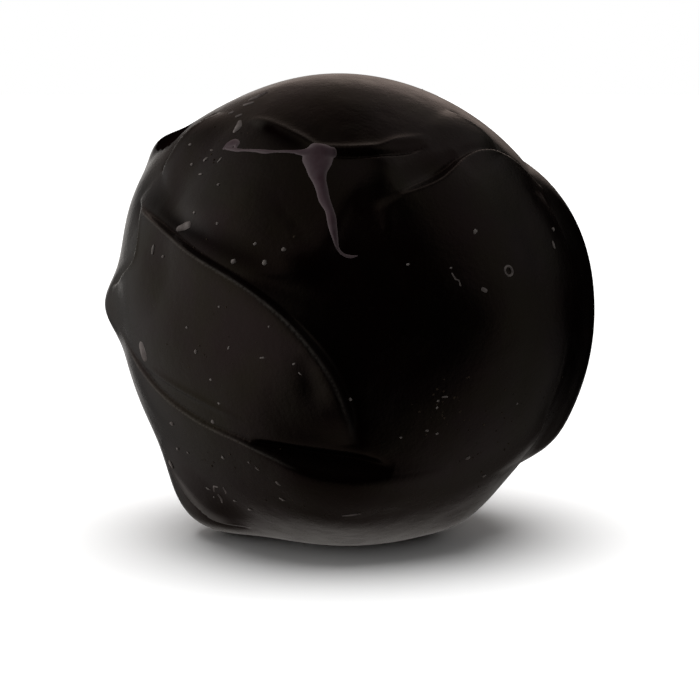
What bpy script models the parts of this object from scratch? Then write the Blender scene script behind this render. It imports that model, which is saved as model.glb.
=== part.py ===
"""A hand-dipped chocolate truffle: one solid ball of dark chocolate, with the folds that its
coating made as it ran, overlapped and set. The truffle sits on a small flat spot.

The surface is a ball whose radius changes with direction. Broad swells and dents shape the ball,
folds lift the coating on one side of a line, and creases press a line into it. Directions are
given as a longitude (0 at the front, 90 at +X, 180 at the back) and a latitude (90 at the top).
Sizes in the tables are in millimetres, and the model is in metres, +Z up.
"""

import math
from collections import namedtuple

import bmesh
import bpy
import numpy as np

MM = 0.001
NAME = "truffle"

# The ball of ganache under its coating.
BALL = (14.85, 14.7, 15.0)  # half-widths along X, Y and Z
CENTRE = (0.0, 0.37, 14.75)  # the ball's centre, above the surface that it rests on
MEAN_RADIUS = 15.2  # turns an angle on the ball into a distance along it

GRID_LEVEL = 7  # subdivisions of the icosphere that the surface starts from
KEPT_FACES = 0.115  # share of its triangles that the finished solid keeps
STEPS_PER_SPAN = 8  # straight steps between two points of a fold's line
ROLL_WIDTH = 0.22  # a rolled edge's half-width
TAIL = 2.7  # a crease's half-width times this is as far as the crease reaches
LEAST_WIDTH = 0.25  # no step or crease is narrower, as the solid's facets are about this size
FAR_AWAY = 99.0  # stands for the distance to a line that is out of reach

CHOCOLATE = (0.012, 0.009, 0.007, 1.0)  # nearly black brown, linear
SHEEN_ROUGHNESS = 0.42

# A broad rise, or a dent where the height is negative.
Swell = namedtuple("Swell", "lon lat width height")

# A step in the coating. The raised side lies to the right of the line's direction of travel,
# seen from outside. Each point is (longitude, latitude, rise, softness of the step).
# spread: how far back from the line the raised side falls away to nothing.
# crown: 1 lets it climb all the way up to the line, as a crest. 2 rounds its top over.
# dip: depth of the groove on the low side, as a share of the rise. dip_width: how wide it is.
# roll: height of the rolled edge.
Fold = namedtuple("Fold", "spread crown dip dip_width roll points")

# A groove, or a ridge where the depth is negative: (longitude, latitude, depth, half-width).
Crease = namedtuple("Crease", "points")

SWELLS = {
    "left shoulder": Swell(-94, 35, 6.0, 1.2),
    "left shoulder knob": Swell(-98, 41, 1.5, 0.7),
    "left knuckle": Swell(-86, 2, 2.0, 1.0),
    "heel": Swell(-86, -53, 3.7, 2.1),
    "foot": Swell(-150, -82, 6.5, 0.75),
    "crown": Swell(-50, 72, 8.0, 0.6),
    "upper left pillow": Swell(-28, 30, 3.6, 0.35),
    "dent by the left lip": Swell(-58, 31, 2.2, -0.2),
    "lower left pillow": Swell(-13, -8, 4.6, 0.6),
    "right cheek": Swell(44, 2, 6.0, 0.35),
    "belly": Swell(-6, -48, 3.4, 0.45),
    "front hollow": Swell(15, -1, 4.6, -0.5),
    "cushion under the brow": Swell(9, 39.3, 2.0, 0.5),
    "dent below the right flap": Swell(86, -41, 1.7, -0.45),
    "right heel": Swell(74, -61, 3.0, 0.55),
    "right back pillow": Swell(125, -6, 6.0, 0.5),
    "back pillow": Swell(172, 26, 6.0, 0.45),
    "left back pillow": Swell(-138, -12, 6.0, 0.5),
    "back hollow": Swell(-172, -8, 4.0, -0.35),
}

FOLDS = {
    "sash": Fold(4.8, 1.0, 0.0, 0.5, 0.0, (
        (-71, 27.4, 0.0, 0.1),
        (-57, 24.6, 0.6, 0.1),
        (-40, 18.6, 0.95, 0.1),
        (-23.5, 11.8, 0.95, 0.1),
        (-12, 3.8, 1.0, 0.11),
        (-3.8, -6, 1.25, 0.14),
        (0.1, -16, 1.0, 0.18),
        (1.4, -25, 0.0, 0.4),
    )),
    "upper pillow": Fold(5.4, 1.0, 0.0, 1.0, 0.0, (
        (4, 38, 0.0, 0.5),
        (0, 31, 0.25, 0.5),
        (-2.5, 25, 0.4, 0.6),
        (-6, 18.6, 0.7, 0.75),
        (-12.5, 15.4, 0.95, 0.85),
        (-21, 14.9, 0.95, 0.85),
        (-31, 17.6, 0.8, 0.8),
        (-43, 22.8, 0.6, 0.75),
        (-56, 28.5, 0.0, 0.6),
    )),
    "hem": Fold(4.2, 2.0, 0.15, 0.2, 0.0, (
        (-80, -2, 0.0, 0.07),
        (-66, -8.4, 0.18, 0.07),
        (-54, -15.5, 0.2, 0.07),
        (-41, -21.2, 0.22, 0.07),
        (-29.5, -24.8, 0.25, 0.08),
        (-21, -28, 0.35, 0.12),
        (-13, -30.7, 0.45, 0.2),
        (0, -33.3, 0.45, 0.3),
        (14, -34.6, 0.3, 0.5),
        (30, -33, 0.0, 0.7),
    )),
    "brow": Fold(3.2, 2.0, 0.2, 0.3, 0.0, (
        (36, 50.5, 0.0, 0.3),
        (17, 48.2, 0.12, 0.2),
        (4, 45.8, 0.14, 0.16),
        (-9.7, 46, 0.14, 0.16),
        (-17.3, 48.2, 0.1, 0.2),
        (-27, 51, 0.08, 0.25),
        (-38, 53.5, 0.05, 0.3),
        (-48, 54, 0.0, 0.3),
    )),
    "tuck": Fold(6.4, 2.0, 0.4, 0.6, 0.04, (
        (5, 30.5, 0.0, 0.4),
        (12, 33.3, 0.3, 0.35),
        (24.5, 37.5, 0.5, 0.3),
        (31.5, 40.5, 0.5, 0.2),
        (37.4, 43.2, 0.4, 0.15),
        (47, 45.2, 0.35, 0.12),
        (60, 44, 0.35, 0.12),
        (68, 39, 0.3, 0.12),
        (76, 33, 0.0, 0.12),
    )),
    "cape": Fold(4.8, 2.0, 0.6, 0.5, 0.06, (
        (56, 61, 0.0, 0.1),
        (58, 55.5, 0.3, 0.1),
        (60.5, 49.5, 0.35, 0.1),
        (62, 44, 0.0, 0.1),
    )),
    "right flap": Fold(12.8, 2.0, 0.0, 1.0, 0.0, (
        (72, -39, 0.0, 1.0),
        (77, -31, 1.0, 1.3),
        (80, -18, 1.3, 2.0),
        (81, 0, 1.35, 2.2),
        (81, 16, 1.3, 2.2),
        (79, 28, 0.8, 1.6),
        (75, 38, 0.0, 1.2),
    )),
    "cheek edge": Fold(4.8, 2.0, 0.6, 0.7, 0.05, (
        (72, 32, 0.0, 0.3),
        (70, 22, 0.35, 0.2),
        (67, 10, 0.4, 0.2),
        (63.5, -1, 0.4, 0.2),
        (61.5, -11, 0.4, 0.16),
        (60.5, -19, 0.35, 0.12),
        (63, -28, 0.3, 0.12),
        (66, -37, 0.0, 0.12),
    )),
    "left lip": Fold(4.0, 2.0, 1.2, 0.5, 0.1, (
        (-82, 7, 0.0, 0.1),
        (-72, 11, 0.35, 0.1),
        (-64, 15, 0.5, 0.1),
        (-63, 19.5, 0.5, 0.1),
        (-67, 24.5, 0.35, 0.1),
        (-76, 29, 0.0, 0.1),
    )),
    "shoulder lip": Fold(3.2, 2.0, 1.2, 0.6, 0.12, (
        (-70.5, 36.5, 0.0, 0.12),
        (-68.8, 39.5, 0.35, 0.12),
        (-68.4, 43.5, 0.5, 0.12),
        (-69, 47, 0.5, 0.12),
        (-69.8, 50.5, 0.35, 0.12),
        (-71, 56, 0.0, 0.12),
    )),
    "heel lip": Fold(3.2, 2.0, 1.0, 0.6, 0.12, (
        (-57, -61, 0.0, 0.12),
        (-64.5, -54, 0.35, 0.12),
        (-66, -48.8, 0.45, 0.12),
        (-68, -44, 0.45, 0.12),
        (-70.5, -38.8, 0.35, 0.12),
        (-72, -31, 0.0, 0.12),
    )),
    "back sash": Fold(7.2, 2.0, 0.7, 1.6, 0.04, (
        (110, 40, 0.0, 0.2),
        (128, 33, 0.5, 0.14),
        (146, 24, 0.6, 0.14),
        (164, 13, 0.6, 0.2),
        (180, 3, 0.5, 0.4),
        (194, -6, 0.3, 0.6),
        (208, -15, 0.0, 0.8),
    )),
    "back hem": Fold(5.8, 2.0, 0.6, 0.7, 0.08, (
        (98, -30, 0.0, 0.12),
        (118, -27, 0.45, 0.12),
        (138, -31, 0.6, 0.14),
        (160, -35, 0.6, 0.2),
        (184, -33, 0.5, 0.3),
        (206, -28, 0.45, 0.2),
        (228, -26, 0.35, 0.14),
        (248, -30, 0.0, 0.12),
    )),
    "back brow": Fold(4.2, 2.0, 0.8, 0.9, 0.06, (
        (244, 46, 0.0, 0.3),
        (222, 46, 0.4, 0.25),
        (198, 50, 0.5, 0.2),
        (176, 56, 0.45, 0.2),
        (154, 64, 0.0, 0.4),
    )),
    "left back flap": Fold(6.4, 2.0, 0.6, 0.9, 0.05, (
        (-108, 38, 0.0, 0.25),
        (-116, 24, 0.5, 0.16),
        (-118, 8, 0.6, 0.16),
        (-112, -8, 0.5, 0.2),
        (-104, -24, 0.0, 0.4),
    )),
}

CREASES = {
    "valley over the sash": Crease((
        (-60, 30, 0.0, 0.6),
        (-47, 25.5, 0.35, 0.8),
        (-33, 19.5, 0.5, 0.9),
        (-22, 15.5, 0.5, 1.0),
        (-12, 10, 0.35, 1.3),
        (0, 4, 0.2, 1.8),
        (9, -5, 0.0, 2.0),
    )),
    "dimple behind the crest": Crease((
        (-10, -2, 0.0, 0.6),
        (-9, -6, 0.1, 0.7),
        (-8, -10.5, 0.12, 0.8),
        (-7.5, -16, 0.0, 0.8),
    )),
    "pocket over the hem": Crease((
        (-26, -25.4, 0.0, 0.3),
        (-18, -27.4, 0.5, 0.45),
        (-9, -29.6, 0.7, 0.6),
        (2, -31.3, 0.6, 0.6),
        (12, -33, 0.0, 0.45),
    )),
    "line over the hem": Crease((
        (-62, -9, 0.0, 0.22),
        (-50, -12.5, -0.1, 0.22),
        (-38, -16, -0.1, 0.22),
        (-27, -19.5, 0.0, 0.22),
    )),
    "ridge of the brow": Crease((
        (-45, 55, 0.0, 0.3),
        (-37, 54.4, -0.12, 0.35),
        (-27, 52.2, -0.2, 0.4),
        (-17.5, 49, -0.25, 0.4),
        (-9, 46.2, -0.2, 0.35),
        (8, 46, -0.2, 0.35),
        (17.6, 49, -0.15, 0.35),
        (31, 50.6, 0.0, 0.3),
    )),
    "gap under the brow": Crease((
        (-8, 45, 0.0, 0.2),
        (0, 44.4, 0.2, 0.16),
        (8, 44.4, 0.22, 0.16),
        (18, 45.8, 0.18, 0.2),
        (28, 48, 0.0, 0.25),
    )),
    "hollow over the tuck": Crease((
        (12, 36, 0.0, 0.7),
        (18, 38.4, 0.25, 0.7),
        (26, 41.2, 0.4, 0.6),
        (33, 44, 0.2, 0.4),
        (38, 46, 0.0, 0.3),
    )),
    "streak under the hollow": Crease((
        (9, 33, 0.0, 0.5),
        (9.5, 27, -0.12, 0.5),
        (9, 20, 0.0, 0.5),
    )),
}


def direction(lon, lat):
    """The unit vector from the ball's centre towards a longitude and a latitude in degrees."""
    lon, lat = math.radians(lon), math.radians(lat)
    return np.array((math.sin(lon) * math.cos(lat), -math.cos(lon) * math.cos(lat), math.sin(lat)))


def smooth_line(points):
    """A Catmull-Rom curve on the unit ball through the points: positions, and their two sizes."""
    rows = np.array([[*direction(lon, lat), a, b] for lon, lat, a, b in points])
    rows = np.vstack((2 * rows[0] - rows[1], rows, 2 * rows[-1] - rows[-2]))
    curve = []
    for before, start, end, after in zip(rows, rows[1:], rows[2:], rows[3:]):
        for t in np.arange(STEPS_PER_SPAN) / STEPS_PER_SPAN:
            bend = 2 * before - 5 * start + 4 * end - after
            twist = 3 * (start - end) + after - before
            curve.append(start + 0.5 * t * (end - before + t * (bend + t * twist)))
    curve = np.array([*curve, rows[-2]])
    curve[:, :3] /= np.linalg.norm(curve[:, :3], axis=1, keepdims=True)
    curve[:, 4] = np.maximum(curve[:, 4], LEAST_WIDTH)
    return curve[:, :3], curve[:, 3:]


def across(units, points, reach):
    """How far to the right of the line each direction lies, and the line's two sizes there.

    Beyond reach, in millimetres, of the line's own part of the ball, it lies far to the left.
    """
    line, sizes = smooth_line(points)
    middle = line.mean(axis=0) / np.linalg.norm(line.mean(axis=0))
    widest = math.acos((line @ middle).min()) + reach / MEAN_RADIUS
    near = units @ middle > math.cos(min(widest, math.pi))
    close = units[near]
    nearest = np.full(len(close), np.inf)
    found = np.zeros((len(close), 3))
    for start, end, first, last in zip(line, line[1:], sizes, sizes[1:]):
        run = end - start
        share = np.clip((close - start) @ run / (run @ run), 0, 1)[:, None]
        gap = close - start - share * run
        distance = np.linalg.norm(gap, axis=1)
        offset = np.sign(gap @ np.cross(run, start)) * distance * MEAN_RADIUS
        closer = distance < nearest
        nearest[closer] = distance[closer]
        found[closer] = np.column_stack((offset, first + share * (last - first)))[closer]
    every = np.full((len(units), 3), (-FAR_AWAY, 0.0, 1.0))
    every[near] = found
    return every.T


def swell_height(units, swell):
    """A rounded rise around one direction."""
    cosine = np.clip(units @ direction(swell.lon, swell.lat), -1, 1)
    return swell.height * np.exp(-((np.arccos(cosine) * MEAN_RADIUS / swell.width) ** 2))


def fold_height(units, fold):
    """A step up to the right of the line, with a groove at its foot and a rolled edge."""
    offset, rise, softness = across(units, fold.points, fold.spread)
    step = 0.5 * (1 + np.tanh(offset / softness))
    back = np.clip(offset / fold.spread, 0, 1)
    raised = step * (1 - back**fold.crown) ** 2
    groove = fold.dip * (1 - step) * np.exp(-((offset / fold.dip_width) ** 2))
    strength = rise / max(point[2] for point in fold.points)
    roll = fold.roll * strength * np.exp(-(((offset - softness) / ROLL_WIDTH) ** 2))
    return rise * (raised - groove) + roll


def crease_height(units, crease):
    """A rounded groove along the line."""
    reach = TAIL * max(point[3] for point in crease.points)
    offset, depth, width = across(units, crease.points, reach)
    return -depth * np.exp(-((offset / width) ** 2))


def radius(units):
    """The distance from the ball's centre to the coating's surface in each direction."""
    total = 1 / np.linalg.norm(units / np.array(BALL), axis=1)
    total += sum(swell_height(units, swell) for swell in SWELLS.values())
    total += sum(fold_height(units, fold) for fold in FOLDS.values())
    total += sum(crease_height(units, crease) for crease in CREASES.values())
    return total


def coating_mesh(level):
    """The whole surface as a mesh, before its foot is cut flat."""
    bm = bmesh.new()
    bmesh.ops.create_icosphere(bm, subdivisions=level, radius=1.0)
    units = np.array([vertex.co.normalized() for vertex in bm.verts])
    surface = np.array(CENTRE) + units * radius(units)[:, None]
    for vertex, place in zip(bm.verts, surface * MM):
        vertex.co = place
    mesh = bpy.data.meshes.new(NAME)
    bm.to_mesh(mesh)
    bm.free()
    mesh.shade_smooth()
    return mesh


def chocolate():
    """Set dark chocolate: nearly black brown, with a soft sheen."""
    material = bpy.data.materials.new("dark chocolate coating")
    material.use_nodes = True
    shader = material.node_tree.nodes["Principled BSDF"]
    shader.inputs["Base Color"].default_value = CHOCOLATE
    shader.inputs["Roughness"].default_value = SHEEN_ROUGHNESS
    shader.inputs["Metallic"].default_value = 0.0
    return material


def new_collection(name, hidden=False):
    collection = bpy.data.collections.new(name)
    collection.hide_render = hidden
    bpy.context.scene.collection.children.link(collection)
    return collection


def floor_cutter(collection):
    """A block below the resting plane: what it takes off the ball leaves the flat spot."""
    side = 4 * MEAN_RADIUS * MM
    bpy.ops.mesh.primitive_cube_add(size=side, location=(0, 0, -side / 2))
    cutter = bpy.context.active_object
    cutter.name = "floor_cutter"
    cutter.hide_render = True
    cutter.display_type = "WIRE"
    for other in cutter.users_collection:
        other.objects.unlink(cutter)
    collection.objects.link(cutter)
    return cutter


def build():
    """The truffle: the coating's surface thinned to a light solid, cut flat at its foot."""
    for old in list(bpy.data.objects):
        bpy.data.objects.remove(old)
    parts = new_collection("chocolate_truffle")
    cutters = new_collection("cutters", hidden=True)
    truffle = bpy.data.objects.new(NAME, coating_mesh(GRID_LEVEL))
    truffle.data.materials.append(chocolate())
    parts.objects.link(truffle)
    thin = truffle.modifiers.new("thin out flat areas", "DECIMATE")
    thin.ratio = KEPT_FACES
    cut = truffle.modifiers.new("flat spot", "BOOLEAN")
    cut.operation = "DIFFERENCE"
    cut.solver = "EXACT"
    cut.object = floor_cutter(cutters)


build()
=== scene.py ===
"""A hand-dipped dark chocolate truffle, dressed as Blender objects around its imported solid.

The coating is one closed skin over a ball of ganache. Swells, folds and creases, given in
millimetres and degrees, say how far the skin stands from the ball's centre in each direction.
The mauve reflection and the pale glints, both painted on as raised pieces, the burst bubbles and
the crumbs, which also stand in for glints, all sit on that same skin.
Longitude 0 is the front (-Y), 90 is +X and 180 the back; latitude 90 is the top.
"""

import math
from collections import namedtuple

import bmesh
import bpy
import numpy as np
from mathutils import Matrix, Vector


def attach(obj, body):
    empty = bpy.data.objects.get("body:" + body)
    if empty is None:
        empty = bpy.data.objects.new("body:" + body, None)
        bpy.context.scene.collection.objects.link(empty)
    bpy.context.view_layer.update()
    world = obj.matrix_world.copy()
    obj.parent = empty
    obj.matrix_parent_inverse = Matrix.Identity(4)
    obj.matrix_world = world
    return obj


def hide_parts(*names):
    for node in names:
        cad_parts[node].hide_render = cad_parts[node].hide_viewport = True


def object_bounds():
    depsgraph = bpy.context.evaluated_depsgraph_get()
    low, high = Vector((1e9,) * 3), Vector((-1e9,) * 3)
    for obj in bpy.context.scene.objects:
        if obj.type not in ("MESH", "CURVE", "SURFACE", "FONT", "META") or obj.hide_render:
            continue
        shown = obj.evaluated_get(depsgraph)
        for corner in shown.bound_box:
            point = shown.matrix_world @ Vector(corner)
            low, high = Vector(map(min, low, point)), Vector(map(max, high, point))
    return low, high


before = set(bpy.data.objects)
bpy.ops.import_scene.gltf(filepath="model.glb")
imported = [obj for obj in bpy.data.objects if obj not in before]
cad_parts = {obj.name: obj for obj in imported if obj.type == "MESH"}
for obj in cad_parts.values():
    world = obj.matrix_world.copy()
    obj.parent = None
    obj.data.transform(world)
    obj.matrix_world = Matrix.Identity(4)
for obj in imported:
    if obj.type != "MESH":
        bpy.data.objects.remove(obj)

bl_info = {
    "name": "Chocolate truffle",
    "version": (1, 0, 0),
    "blender": (4, 5, 0),
    "location": "3D Viewport > Sidebar > Truffle",
    "description": "Models a hand-dipped dark chocolate truffle with a mauve drizzle and crumbs",
    "category": "Object",
}

MM = 0.001
NODE = "truffle"
BODY = "root"
CAD_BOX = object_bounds()
LOW, HIGH = (np.array(corner) for corner in CAD_BOX)

# ---------------------------------------------------------------------------------------------
# The coating's form, in millimetres and degrees
# ---------------------------------------------------------------------------------------------

BALL = (14.85, 14.7, 15.0)  # half-widths of the ball of ganache with its coating
CENTRE = (0.0, 0.37, 14.75)  # its centre, above the surface that it rests on
MEAN_RADIUS = 15.2  # turns an angle on the ball into a distance along it
STEPS_PER_SPAN = 8  # straight steps between two points of a line on the ball
ROLL_WIDTH = 0.22  # half-width of a fold's rolled edge
LEAST_WIDTH = 0.05  # no step or crease is narrower
TAIL = 2.7  # a spread or half-width times this is as far as a fold or crease reaches
FAR_AWAY = 99.0  # the distance, in millimetres, given to what lies beyond that

Swell = namedtuple("Swell", "lon lat width height")
Fold = namedtuple("Fold", "spread crown dip dip_width roll points")
Crease = namedtuple("Crease", "points")

SWELLS = {
    "left shoulder": Swell(-94, 35, 6.0, 1.2),
    "left shoulder knob": Swell(-98, 41, 1.5, 0.7),
    "left knuckle": Swell(-86, 2, 2.0, 1.0),
    "heel": Swell(-86, -53, 3.7, 2.1),
    "foot": Swell(-150, -82, 6.5, 0.75),
    "crown": Swell(-50, 72, 8.0, 0.6),
    "upper left pillow": Swell(-28, 30, 3.6, 0.35),
    "dent by the left lip": Swell(-58, 31, 2.2, -0.2),
    "lower left pillow": Swell(-13, -8, 4.6, 0.6),
    "right cheek": Swell(44, 2, 6.0, 0.35),
    "belly": Swell(-6, -48, 3.4, 0.45),
    "front hollow": Swell(15, -1, 4.6, -0.5),
    "cushion under the brow": Swell(9, 39.3, 2.0, 0.5),
    "dent below the right flap": Swell(86, -41, 1.7, -0.45),
    "right heel": Swell(74, -61, 3.0, 0.55),
    "right back pillow": Swell(125, -6, 6.0, 0.5),
    "back pillow": Swell(172, 26, 6.0, 0.45),
    "left back pillow": Swell(-138, -12, 6.0, 0.5),
    "back hollow": Swell(-172, -8, 4.0, -0.35),
}

FOLDS = {
    "sash": Fold(4.8, 1.0, 0.0, 0.5, 0.0, (
        (-71, 27.4, 0.0, 0.1),
        (-57, 24.6, 0.6, 0.1),
        (-40, 18.6, 0.95, 0.1),
        (-23.5, 11.8, 0.95, 0.1),
        (-12, 3.8, 1.0, 0.11),
        (-3.8, -6, 1.25, 0.14),
        (0.1, -16, 1.0, 0.18),
        (1.4, -25, 0.0, 0.4),
    )),
    "upper pillow": Fold(5.4, 1.0, 0.0, 1.0, 0.0, (
        (4, 38, 0.0, 0.5),
        (0, 31, 0.25, 0.5),
        (-2.5, 25, 0.4, 0.6),
        (-6, 18.6, 0.7, 0.75),
        (-12.5, 15.4, 0.95, 0.85),
        (-21, 14.9, 0.95, 0.85),
        (-31, 17.6, 0.8, 0.8),
        (-43, 22.8, 0.6, 0.75),
        (-56, 28.5, 0.0, 0.6),
    )),
    "hem": Fold(4.2, 2.0, 0.15, 0.2, 0.0, (
        (-80, -2, 0.0, 0.07),
        (-66, -8.4, 0.18, 0.07),
        (-54, -15.5, 0.2, 0.07),
        (-41, -21.2, 0.22, 0.07),
        (-29.5, -24.8, 0.25, 0.08),
        (-21, -28, 0.35, 0.12),
        (-13, -30.7, 0.45, 0.2),
        (0, -33.3, 0.45, 0.3),
        (14, -34.6, 0.3, 0.5),
        (30, -33, 0.0, 0.7),
    )),
    "brow": Fold(3.2, 2.0, 0.2, 0.3, 0.0, (
        (36, 50.5, 0.0, 0.3),
        (17, 48.2, 0.12, 0.2),
        (4, 45.8, 0.14, 0.16),
        (-9.7, 46, 0.14, 0.16),
        (-17.3, 48.2, 0.1, 0.2),
        (-27, 51, 0.08, 0.25),
        (-38, 53.5, 0.05, 0.3),
        (-48, 54, 0.0, 0.3),
    )),
    "tuck": Fold(6.4, 2.0, 0.4, 0.6, 0.04, (
        (5, 30.5, 0.0, 0.4),
        (12, 33.3, 0.3, 0.35),
        (24.5, 37.5, 0.5, 0.3),
        (31.5, 40.5, 0.5, 0.2),
        (37.4, 43.2, 0.4, 0.15),
        (47, 45.2, 0.35, 0.12),
        (60, 44, 0.35, 0.12),
        (68, 39, 0.3, 0.12),
        (76, 33, 0.0, 0.12),
    )),
    "cape": Fold(4.8, 2.0, 0.6, 0.5, 0.06, (
        (56, 61, 0.0, 0.1),
        (58, 55.5, 0.3, 0.1),
        (60.5, 49.5, 0.35, 0.1),
        (62, 44, 0.0, 0.1),
    )),
    "right flap": Fold(12.8, 2.0, 0.0, 1.0, 0.0, (
        (72, -39, 0.0, 1.0),
        (77, -31, 1.0, 1.3),
        (80, -18, 1.3, 2.0),
        (81, 0, 1.35, 2.2),
        (81, 16, 1.3, 2.2),
        (79, 28, 0.8, 1.6),
        (75, 38, 0.0, 1.2),
    )),
    "cheek edge": Fold(4.8, 2.0, 0.6, 0.7, 0.05, (
        (72, 32, 0.0, 0.3),
        (70, 22, 0.35, 0.2),
        (67, 10, 0.4, 0.2),
        (63.5, -1, 0.4, 0.2),
        (61.5, -11, 0.4, 0.16),
        (60.5, -19, 0.35, 0.12),
        (63, -28, 0.3, 0.12),
        (66, -37, 0.0, 0.12),
    )),
    "left lip": Fold(4.0, 2.0, 1.2, 0.5, 0.1, (
        (-82, 7, 0.0, 0.1),
        (-72, 11, 0.35, 0.1),
        (-64, 15, 0.5, 0.1),
        (-63, 19.5, 0.5, 0.1),
        (-67, 24.5, 0.35, 0.1),
        (-76, 29, 0.0, 0.1),
    )),
    "shoulder lip": Fold(3.2, 2.0, 1.2, 0.6, 0.12, (
        (-70.5, 36.5, 0.0, 0.12),
        (-68.8, 39.5, 0.35, 0.12),
        (-68.4, 43.5, 0.5, 0.12),
        (-69, 47, 0.5, 0.12),
        (-69.8, 50.5, 0.35, 0.12),
        (-71, 56, 0.0, 0.12),
    )),
    "heel lip": Fold(3.2, 2.0, 1.0, 0.6, 0.12, (
        (-57, -61, 0.0, 0.12),
        (-64.5, -54, 0.35, 0.12),
        (-66, -48.8, 0.45, 0.12),
        (-68, -44, 0.45, 0.12),
        (-70.5, -38.8, 0.35, 0.12),
        (-72, -31, 0.0, 0.12),
    )),
    "back sash": Fold(7.2, 2.0, 0.7, 1.6, 0.04, (
        (110, 40, 0.0, 0.2),
        (128, 33, 0.5, 0.14),
        (146, 24, 0.6, 0.14),
        (164, 13, 0.6, 0.2),
        (180, 3, 0.5, 0.4),
        (194, -6, 0.3, 0.6),
        (208, -15, 0.0, 0.8),
    )),
    "back hem": Fold(5.8, 2.0, 0.6, 0.7, 0.08, (
        (98, -30, 0.0, 0.12),
        (118, -27, 0.45, 0.12),
        (138, -31, 0.6, 0.14),
        (160, -35, 0.6, 0.2),
        (184, -33, 0.5, 0.3),
        (206, -28, 0.45, 0.2),
        (228, -26, 0.35, 0.14),
        (248, -30, 0.0, 0.12),
    )),
    "back brow": Fold(4.2, 2.0, 0.8, 0.9, 0.06, (
        (244, 46, 0.0, 0.3),
        (222, 46, 0.4, 0.25),
        (198, 50, 0.5, 0.2),
        (176, 56, 0.45, 0.2),
        (154, 64, 0.0, 0.4),
    )),
    "left back flap": Fold(6.4, 2.0, 0.6, 0.9, 0.05, (
        (-108, 38, 0.0, 0.25),
        (-116, 24, 0.5, 0.16),
        (-118, 8, 0.6, 0.16),
        (-112, -8, 0.5, 0.2),
        (-104, -24, 0.0, 0.4),
    )),
}

CREASES = {
    "valley over the sash": Crease((
        (-60, 30, 0.0, 0.6),
        (-47, 25.5, 0.35, 0.8),
        (-33, 19.5, 0.5, 0.9),
        (-22, 15.5, 0.5, 1.0),
        (-12, 10, 0.35, 1.3),
        (0, 4, 0.2, 1.8),
        (9, -5, 0.0, 2.0),
    )),
    "dimple behind the crest": Crease((
        (-10, -2, 0.0, 0.6),
        (-9, -6, 0.1, 0.7),
        (-8, -10.5, 0.12, 0.8),
        (-7.5, -16, 0.0, 0.8),
    )),
    "pocket over the hem": Crease((
        (-26, -25.4, 0.0, 0.3),
        (-18, -27.4, 0.5, 0.45),
        (-9, -29.6, 0.7, 0.6),
        (2, -31.3, 0.6, 0.6),
        (12, -33, 0.0, 0.45),
    )),
    "line over the hem": Crease((
        (-62, -9, 0.0, 0.22),
        (-50, -12.5, -0.1, 0.22),
        (-38, -16, -0.1, 0.22),
        (-27, -19.5, 0.0, 0.22),
    )),
    "ridge of the brow": Crease((
        (-45, 55, 0.0, 0.3),
        (-37, 54.4, -0.12, 0.35),
        (-27, 52.2, -0.2, 0.4),
        (-17.5, 49, -0.25, 0.4),
        (-9, 46.2, -0.2, 0.35),
        (8, 46, -0.2, 0.35),
        (17.6, 49, -0.15, 0.35),
        (31, 50.6, 0.0, 0.3),
    )),
    "gap under the brow": Crease((
        (-8, 45, 0.0, 0.2),
        (0, 44.4, 0.2, 0.16),
        (8, 44.4, 0.22, 0.16),
        (18, 45.8, 0.18, 0.2),
        (28, 48, 0.0, 0.25),
    )),
    "hollow over the tuck": Crease((
        (12, 36, 0.0, 0.7),
        (18, 38.4, 0.25, 0.7),
        (26, 41.2, 0.4, 0.6),
        (33, 44, 0.2, 0.4),
        (38, 46, 0.0, 0.3),
    )),
    "streak under the hollow": Crease((
        (9, 33, 0.0, 0.5),
        (9.5, 27, -0.12, 0.5),
        (9, 20, 0.0, 0.5),
    )),
}


def direction(lon, lat):
    """The unit vector from the ball's centre towards a longitude and a latitude in degrees."""
    lon, lat = np.radians(lon), np.radians(lat)
    return np.array((np.sin(lon) * np.cos(lat), -np.cos(lon) * np.cos(lat), np.sin(lat)))


def smooth_line(points):
    """A Catmull-Rom curve on the unit ball through the points: positions, and their two sizes."""
    rows = np.array([[*direction(lon, lat), a, b] for lon, lat, a, b in points])
    rows = np.vstack((2 * rows[0] - rows[1], rows, 2 * rows[-1] - rows[-2]))
    curve = []
    for before, start, end, after in zip(rows, rows[1:], rows[2:], rows[3:]):
        for t in np.arange(STEPS_PER_SPAN) / STEPS_PER_SPAN:
            bend = 2 * before - 5 * start + 4 * end - after
            twist = 3 * (start - end) + after - before
            curve.append(start + 0.5 * t * (end - before + t * (bend + t * twist)))
    curve = np.array([*curve, rows[-2]])
    curve[:, :3] /= np.linalg.norm(curve[:, :3], axis=1, keepdims=True)
    curve[:, 4] = np.maximum(curve[:, 4], LEAST_WIDTH)
    return curve[:, :3], curve[:, 3:]


def across(units, points, reach):
    """How far to the right of the line each direction lies, and the line's two sizes there.

    Beyond reach, in millimetres, of the line's own part of the ball, it lies far to the left.
    """
    line, sizes = smooth_line(points)
    middle = line.mean(axis=0) / np.linalg.norm(line.mean(axis=0))
    widest = math.acos((line @ middle).min()) + reach / MEAN_RADIUS
    near = units @ middle > math.cos(min(widest, math.pi))
    close = units[near]
    nearest = np.full(len(close), np.inf)
    found = np.zeros((len(close), 3))
    for start, end, first, last in zip(line, line[1:], sizes, sizes[1:]):
        run = end - start
        share = np.clip((close - start) @ run / (run @ run), 0, 1)[:, None]
        gap = close - start - share * run
        distance = np.linalg.norm(gap, axis=1)
        offset = np.sign(gap @ np.cross(run, start)) * distance * MEAN_RADIUS
        closer = distance < nearest
        nearest[closer] = distance[closer]
        found[closer] = np.column_stack((offset, first + share * (last - first)))[closer]
    every = np.full((len(units), 3), (-FAR_AWAY, 0.0, 1.0))
    every[near] = found
    return every.T


def swell_height(units, swell):
    """A rounded rise around one direction."""
    cosine = np.clip(units @ direction(swell.lon, swell.lat), -1, 1)
    return swell.height * np.exp(-((np.arccos(cosine) * MEAN_RADIUS / swell.width) ** 2))


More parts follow.
